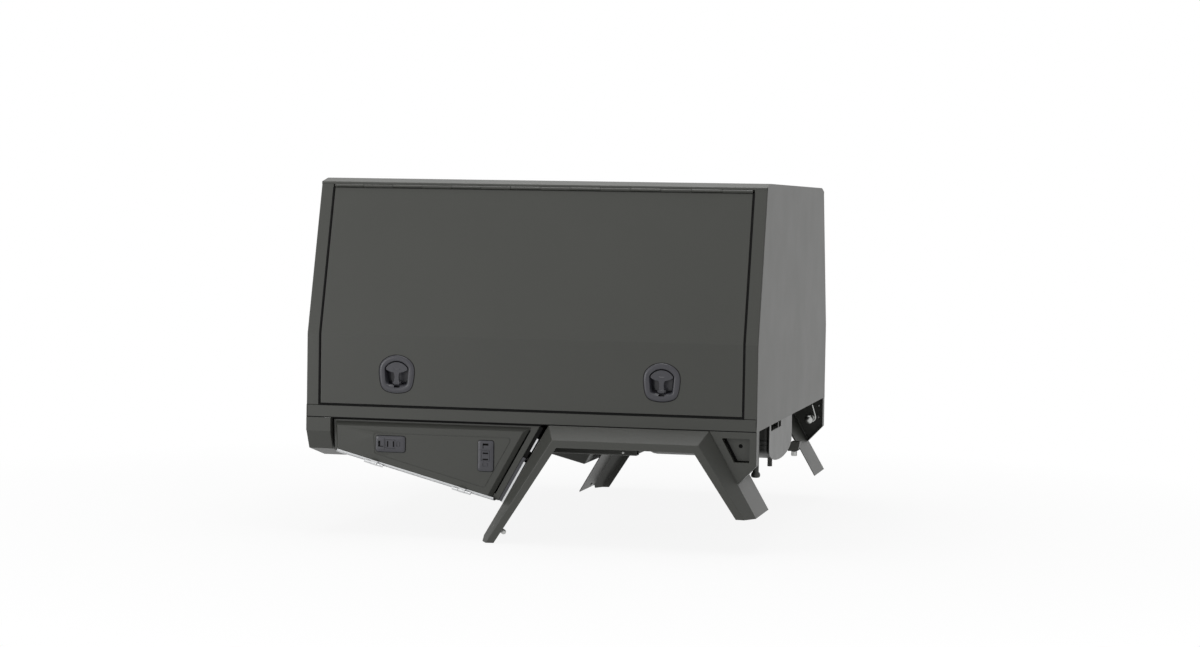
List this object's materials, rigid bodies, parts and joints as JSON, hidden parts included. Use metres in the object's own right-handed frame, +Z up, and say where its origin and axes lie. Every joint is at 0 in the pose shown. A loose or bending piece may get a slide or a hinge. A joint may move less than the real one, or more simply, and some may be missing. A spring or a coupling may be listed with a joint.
{
  "type": "chassis mount tool box",
  "caption": "Ute canopy tool box on a subframe: tapered cabinet with gullwing side doors, under-tray toolboxes with drop-down doors, angular wheel guards and a water tank.",
  "frame": {"origin": "middle of the underside of the middle cross member, in the plane where the subframe sits on the vehicle's chassis", "axes": "+X forward towards the cab, +Y to the left, +Z up"},
  "size_m": [1.654, 1.9, 1.2895],
  "materials": {
    "powder_coat": "satin dark grey-green powder coat on folded aluminium sheet",
    "frame_paint": "satin dark grey paint on the subframe's steel tubes",
    "latch_nylon": "fine-grained dark grey glass-filled nylon",
    "seal_rubber": "matt black rubber",
    "hinge_aluminium": "mill-finish aluminium",
    "strut_black": "black enamel",
    "strut_chrome": "hard chrome",
    "tank_plastic": "rotomoulded black polyethylene",
    "bracket_grey": "satin mid-grey powder coat",
    "tap_steel": "dull plated steel"
  },
  "bodies": {
    "box": {"floor_tray": "powder_coat", "roof_panel": "powder_coat", "front_wall": "powder_coat", "rear_wall": "powder_coat", "right_subframe_rail": "frame_paint", "left_subframe_rail": "frame_paint", "rear_cross_member": "frame_paint", "middle_cross_member": "frame_paint", "front_cross_member": "frame_paint", "water_tank": "tank_plastic", "tank_bracket": "bracket_grey", "drain_spout": "tank_plastic", "water_tap": "tap_steel", "side_pocket": "powder_coat", "right_door_frame": "powder_coat", "right_door_seal": "seal_rubber", "right_wheel_guard": "powder_coat", "right_quarter_panel": "powder_coat", "right_tail_skirt": "powder_coat", "right_toolbox_shell": "powder_coat", "right_toolbox_hinge": "hinge_aluminium", "right_hinge_frame_leaf": "hinge_aluminium", "left_door_frame": "powder_coat", "left_door_seal": "seal_rubber", "left_wheel_guard": "powder_coat", "left_quarter_panel": "powder_coat", "left_tail_skirt": "powder_coat", "left_toolbox_shell": "powder_coat", "left_toolbox_hinge": "hinge_aluminium", "left_hinge_frame_leaf": "hinge_aluminium"},
    "right_gullwing": {"right_door": "powder_coat", "right_hinge_door_leaf": "hinge_aluminium", "right_rear_latch_dish": "latch_nylon", "right_front_latch_dish": "latch_nylon"},
    "left_gullwing": {"left_door": "powder_coat", "left_hinge_door_leaf": "hinge_aluminium", "left_rear_latch_dish": "latch_nylon", "left_front_latch_dish": "latch_nylon"},
    "right_rear_handle": {"right_rear_t_handle": "latch_nylon"},
    "right_front_handle": {"right_front_t_handle": "latch_nylon"},
    "left_rear_handle": {"left_rear_t_handle": "latch_nylon"},
    "left_front_handle": {"left_front_t_handle": "latch_nylon"},
    "right_rear_strut": {"right_rear_strut_cylinder": "strut_black"},
    "right_front_strut": {"right_front_strut_cylinder": "strut_black"},
    "left_rear_strut": {"left_rear_strut_cylinder": "strut_black"},
    "left_front_strut": {"left_front_strut_cylinder": "strut_black"},
    "right_rear_rod": {"right_rear_strut_rod": "strut_chrome"},
    "right_front_rod": {"right_front_strut_rod": "strut_chrome"},
    "left_rear_rod": {"left_rear_strut_rod": "strut_chrome"},
    "left_front_rod": {"left_front_strut_rod": "strut_chrome"},
    "right_toolbox": {"right_toolbox_door": "powder_coat", "right_rear_push_latch": "latch_nylon", "right_front_push_latch": "latch_nylon"},
    "left_toolbox": {"left_toolbox_door": "powder_coat", "left_rear_push_latch": "latch_nylon", "left_front_push_latch": "latch_nylon"},
    "right_rear_button": {"right_rear_push_button": "latch_nylon"},
    "right_front_button": {"right_front_push_button": "latch_nylon"},
    "left_rear_button": {"left_rear_push_button": "latch_nylon"},
    "left_front_button": {"left_front_push_button": "latch_nylon"}
  },
  "joints": [
    {"name": "right_door_swing", "type": "hinge", "parent": "box", "child": "right_gullwing", "pos_m": [0, -0.74794, 0.97938], "axis": [-1, 0, 0], "range_deg": [0, 90]},
    {"name": "left_door_swing", "type": "hinge", "parent": "box", "child": "left_gullwing", "pos_m": [0, 0.74794, 0.97938], "axis": [1, 0, 0], "range_deg": [0, 90]},
    {"name": "right_rear_handle_lift", "type": "hinge", "parent": "right_gullwing", "child": "right_rear_handle", "pos_m": [-0.485, -0.8885, 0.274], "axis": [1, 0, 0], "range_deg": [0, 75]},
    {"name": "right_front_handle_lift", "type": "hinge", "parent": "right_gullwing", "child": "right_front_handle", "pos_m": [0.485, -0.8885, 0.274], "axis": [1, 0, 0], "range_deg": [0, 75]},
    {"name": "left_rear_handle_lift", "type": "hinge", "parent": "left_gullwing", "child": "left_rear_handle", "pos_m": [-0.485, 0.8885, 0.274], "axis": [-1, 0, 0], "range_deg": [0, 75]},
    {"name": "left_front_handle_lift", "type": "hinge", "parent": "left_gullwing", "child": "left_front_handle", "pos_m": [0.485, 0.8885, 0.274], "axis": [-1, 0, 0], "range_deg": [0, 75]},
    {"name": "right_toolbox_drop", "type": "hinge", "parent": "box", "child": "right_toolbox", "pos_m": [-0.56684, -0.893, -0.01991], "axis": [0.9675, 0, -0.2531], "range_deg": [0, 95]},
    {"name": "left_toolbox_drop", "type": "hinge", "parent": "box", "child": "left_toolbox", "pos_m": [-0.56684, 0.893, -0.01991], "axis": [-0.9675, 0, 0.2531], "range_deg": [0, 95]},
    {"name": "right_rear_button_push", "type": "slide", "parent": "right_toolbox", "child": "right_rear_button", "axis": [0, 1, 0], "range_m": [0, 0.005], "stiffness_N_per_m": 300},
    {"name": "right_front_button_push", "type": "slide", "parent": "right_toolbox", "child": "right_front_button", "axis": [0, 1, 0], "range_m": [0, 0.005], "stiffness_N_per_m": 300},
    {"name": "left_rear_button_push", "type": "slide", "parent": "left_toolbox", "child": "left_rear_button", "axis": [0, -1, 0], "range_m": [0, 0.005], "stiffness_N_per_m": 300},
    {"name": "left_front_button_push", "type": "slide", "parent": "left_toolbox", "child": "left_front_button", "axis": [0, -1, 0], "range_m": [0, 0.005], "stiffness_N_per_m": 300},
    {"name": "right_rear_strut_tilt", "type": "hinge", "parent": "box", "child": "right_rear_strut", "pos_m": [-0.726, -0.838, 0.43791], "axis": [1, 0, 0], "range_deg": [0, 27.5]},
    {"name": "right_front_strut_tilt", "type": "hinge", "parent": "box", "child": "right_front_strut", "pos_m": [0.726, -0.838, 0.43791], "axis": [1, 0, 0], "range_deg": [0, 27.5]},
    {"name": "left_rear_strut_tilt", "type": "hinge", "parent": "box", "child": "left_rear_strut", "pos_m": [-0.726, 0.838, 0.43791], "axis": [-1, 0, 0], "range_deg": [0, 27.5]},
    {"name": "left_front_strut_tilt", "type": "hinge", "parent": "box", "child": "left_front_strut", "pos_m": [0.726, 0.838, 0.43791], "axis": [-1, 0, 0], "range_deg": [0, 27.5]},
    {"name": "right_rear_rod_slide", "type": "slide", "parent": "right_rear_strut", "child": "right_rear_rod", "axis": [0, 0.2587, 0.9659], "range_m": [0, 0.21]},
    {"name": "right_front_rod_slide", "type": "slide", "parent": "right_front_strut", "child": "right_front_rod", "axis": [0, 0.2587, 0.9659], "range_m": [0, 0.21]},
    {"name": "left_rear_rod_slide", "type": "slide", "parent": "left_rear_strut", "child": "left_rear_rod", "axis": [0, -0.2587, 0.9659], "range_m": [0, 0.21]},
    {"name": "left_front_rod_slide", "type": "slide", "parent": "left_front_strut", "child": "left_front_rod", "axis": [0, -0.2587, 0.9659], "range_m": [0, 0.21]}
  ],
  "couplings": [
    {"joint": "right_rear_strut_tilt", "follows": "right_door_swing", "ratio": 0.30181},
    {"joint": "right_front_strut_tilt", "follows": "right_door_swing", "ratio": 0.30181},
    {"joint": "left_rear_strut_tilt", "follows": "left_door_swing", "ratio": 0.30181},
    {"joint": "left_front_strut_tilt", "follows": "left_door_swing", "ratio": 0.30181},
    {"joint": "right_rear_rod_slide", "follows": "right_door_swing", "m_per_rad": 0.13242},
    {"joint": "right_front_rod_slide", "follows": "right_door_swing", "m_per_rad": 0.13242},
    {"joint": "left_rear_rod_slide", "follows": "left_door_swing", "m_per_rad": 0.13242},
    {"joint": "left_front_rod_slide", "follows": "left_door_swing", "m_per_rad": 0.13242}
  ]
}
